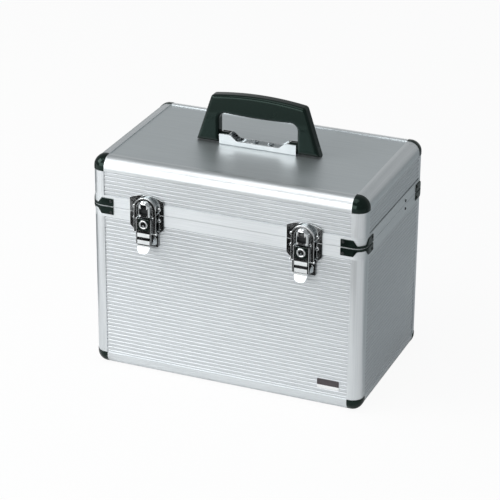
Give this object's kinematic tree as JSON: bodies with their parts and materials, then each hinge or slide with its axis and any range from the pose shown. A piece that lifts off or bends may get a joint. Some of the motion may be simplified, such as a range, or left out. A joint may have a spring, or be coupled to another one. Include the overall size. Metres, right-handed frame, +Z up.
{
  "type": "cosmetic case",
  "caption": "Ribbed aluminium cosmetic case: hinged lid on folding stays, key-locking draw latches, black corner caps, and a fold-down carry handle on a bracket.",
  "frame": {"origin": "centre of the flat underside that the case stands on", "axes": "+Z up, +X to the right along the front, +Y from the latches to the hinges"},
  "size_m": [0.364, 0.2412, 0.3524],
  "materials": {
    "aluminium_extrusion": "satin anodised",
    "ribbed_aluminium": "ribbed, satin",
    "brushed_top": "brushed",
    "chrome": "polished plate",
    "steel": "zinc plated",
    "dark_rivet": "dull",
    "black_plastic": "moulded, glossy",
    "lining": "napped",
    "blank_plate": "printed, bare"
  },
  "bodies": {
    "body": {"base_panel": "brushed_top", "body_bracket_rivets": "chrome", "body_corner_profiles": "aluminium_extrusion", "body_front_panel": "ribbed_aluminium", "body_left_panel": "ribbed_aluminium", "body_lining": "lining", "body_rear_panel": "ribbed_aluminium", "body_right_panel": "ribbed_aluminium", "body_rim": "aluminium_extrusion", "body_rim_brackets": "black_plastic", "body_rivets": "chrome", "bottom_corner_caps": "black_plastic", "bottom_long_profiles": "aluminium_extrusion", "bottom_side_profiles": "aluminium_extrusion", "front_blank_plate": "blank_plate", "hinge_body_leaves": "steel", "hinge_pins": "steel", "latch_left_plate": "chrome", "latch_right_plate": "chrome", "stay_body_rivets": "dark_rivet"},
    "lid": {"latch_left_keeper": "chrome", "latch_right_keeper": "chrome", "lid_bracket_rivets": "chrome", "lid_corner_profiles": "aluminium_extrusion", "lid_front_panel": "ribbed_aluminium", "lid_left_panel": "ribbed_aluminium", "lid_pad": "lining", "lid_rear_panel": "ribbed_aluminium", "lid_right_panel": "ribbed_aluminium", "lid_rim": "aluminium_extrusion", "lid_rim_brackets": "black_plastic", "lid_rivets": "chrome", "lid_top_panel": "brushed_top", "lid_wall_lining": "lining", "top_corner_caps": "black_plastic", "top_long_profiles": "aluminium_extrusion", "top_side_profiles": "aluminium_extrusion", "hinge_lid_leaves": "steel", "stay_lid_rivets": "dark_rivet", "handle_bracket": "chrome", "handle_pins": "steel", "handle_screws": "steel", "handle_nuts": "steel", "handle_backing_strips": "steel"},
    "handle": {"handle": "black_plastic"},
    "left_lever": {"latch_left_lever": "chrome", "latch_left_bezel": "black_plastic", "latch_left_pins": "chrome"},
    "left_claw": {"latch_left_claw": "chrome"},
    "left_lock": {"latch_left_lock": "chrome"},
    "left_stay_lower": {"stay_left_lower_arm": "steel"},
    "left_stay_upper": {"stay_left_upper_arm": "steel"},
    "right_lever": {"latch_right_lever": "chrome", "latch_right_bezel": "black_plastic", "latch_right_pins": "chrome"},
    "right_claw": {"latch_right_claw": "chrome"},
    "right_lock": {"latch_right_lock": "chrome"},
    "right_stay_lower": {"stay_right_lower_arm": "steel"},
    "right_stay_upper": {"stay_right_upper_arm": "steel"}
  },
  "joints": [
    {"name": "lid_hinge", "type": "hinge", "parent": "body", "child": "lid", "pos_m": [0, 0.1128, 0.2218], "axis": [-1, 0, 0], "range_deg": [0, 95]},
    {"name": "handle_fold", "type": "hinge", "parent": "lid", "child": "handle", "pos_m": [0, 0, 0.2931], "axis": [1, 0, 0], "range_deg": [-90, 90]},
    {"name": "left_lever_lift", "type": "hinge", "parent": "body", "child": "left_lever", "pos_m": [-0.104, -0.1165, 0.2135], "axis": [-1, 0, 0], "range_deg": [0, 95]},
    {"name": "left_claw_swing", "type": "hinge", "parent": "left_lever", "child": "left_claw", "pos_m": [-0.104, -0.11675, 0.198], "axis": [1, 0, 0], "range_deg": [0, 114]},
    {"name": "left_lock_turn", "type": "hinge", "parent": "left_lever", "child": "left_lock", "pos_m": [-0.104, -0.12, 0.2105], "axis": [0, -1, 0], "range_deg": [0, 90]},
    {"name": "left_stay_lower_swing", "type": "hinge", "parent": "body", "child": "left_stay_lower", "pos_m": [-0.1725, 0.042, 0.2156], "axis": [-1, 0, 0], "range_deg": [0, 127.67]},
    {"name": "left_stay_upper_swing", "type": "hinge", "parent": "lid", "child": "left_stay_upper", "pos_m": [-0.1708, 0.042, 0.2264], "axis": [1, 0, 0], "range_deg": [0, 128.88]},
    {"name": "right_lever_lift", "type": "hinge", "parent": "body", "child": "right_lever", "pos_m": [0.104, -0.1165, 0.2135], "axis": [-1, 0, 0], "range_deg": [0, 95]},
    {"name": "right_claw_swing", "type": "hinge", "parent": "right_lever", "child": "right_claw", "pos_m": [0.104, -0.11675, 0.198], "axis": [1, 0, 0], "range_deg": [0, 114]},
    {"name": "right_lock_turn", "type": "hinge", "parent": "right_lever", "child": "right_lock", "pos_m": [0.104, -0.12, 0.2105], "axis": [0, -1, 0], "range_deg": [0, 90]},
    {"name": "right_stay_lower_swing", "type": "hinge", "parent": "body", "child": "right_stay_lower", "pos_m": [0.1725, 0.042, 0.2156], "axis": [-1, 0, 0], "range_deg": [0, 127.67]},
    {"name": "right_stay_upper_swing", "type": "hinge", "parent": "lid", "child": "right_stay_upper", "pos_m": [0.1708, 0.042, 0.2264], "axis": [1, 0, 0], "range_deg": [0, 128.88]}
  ],
  "couplings": [
    {"joint": "left_claw_swing", "follows": "left_lever_lift", "ratio": 1.2},
    {"joint": "left_stay_lower_swing", "follows": "lid_hinge", "ratio": 1.3386},
    {"joint": "left_stay_upper_swing", "follows": "lid_hinge", "ratio": 1.3514},
    {"joint": "right_claw_swing", "follows": "right_lever_lift", "ratio": 1.2},
    {"joint": "right_stay_lower_swing", "follows": "lid_hinge", "ratio": 1.3386},
    {"joint": "right_stay_upper_swing", "follows": "lid_hinge", "ratio": 1.3514}
  ]
}
